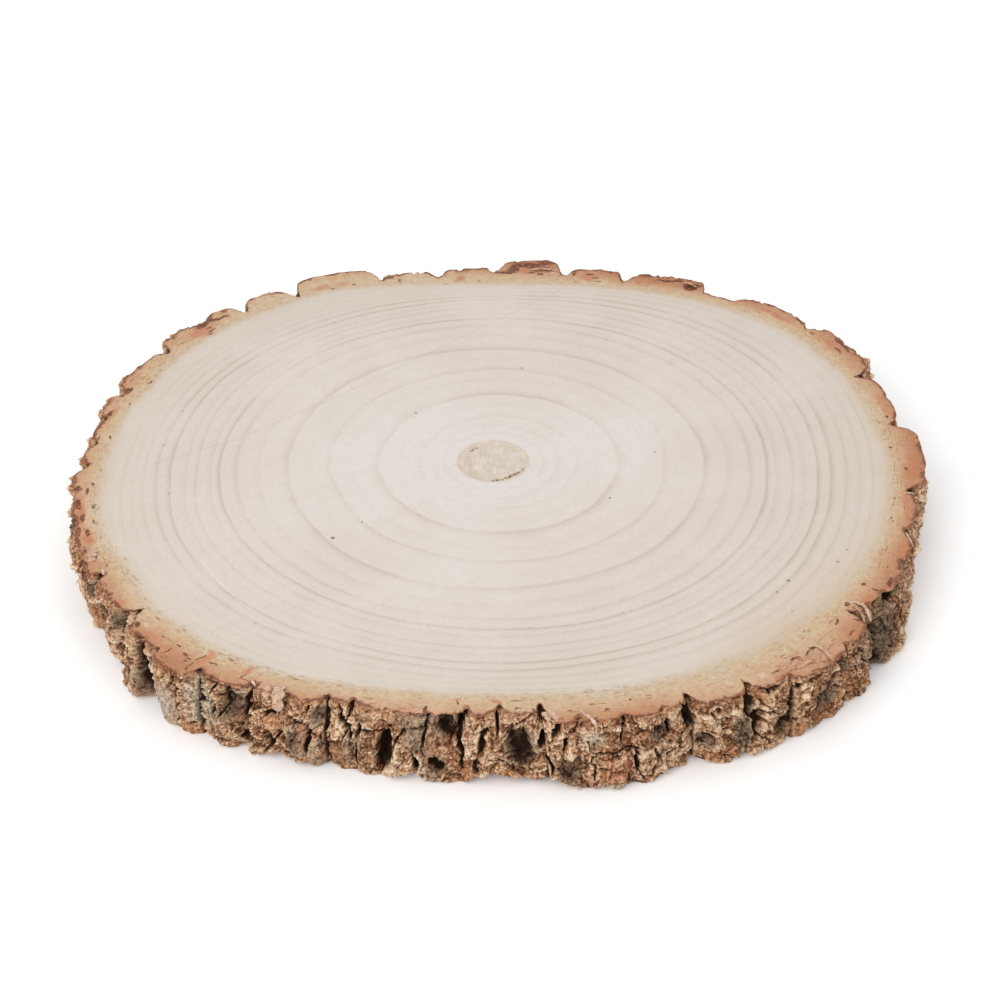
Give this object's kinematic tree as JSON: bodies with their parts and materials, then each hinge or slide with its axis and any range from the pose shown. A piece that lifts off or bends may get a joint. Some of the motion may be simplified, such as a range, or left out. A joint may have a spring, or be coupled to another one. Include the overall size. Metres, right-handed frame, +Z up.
{
  "type": "wood slice",
  "caption": "Round slice cut across a log with its rough bark left on, sawn flat on both faces, to stand things on or to decorate.",
  "frame": {"origin": "centre of the bounding box at the base, in the plane of the lower sawn face", "axes": "+Z up, out of the upper sawn face; +X along the longest way across; -Y towards the side seen in the picture"},
  "size_m": [0.3045, 0.2883, 0.026],
  "materials": {
    "sawn_wood": "matt, sawn and lightly sanded, with growth rings",
    "inner_bark": "matt, sawn across, orange tan",
    "cork": "rough fissured outer bark",
    "pith": "soft, crumbly, matt"
  },
  "bodies": {
    "root": {"wood_slice": "sawn_wood"}
  },
  "joints": []
}
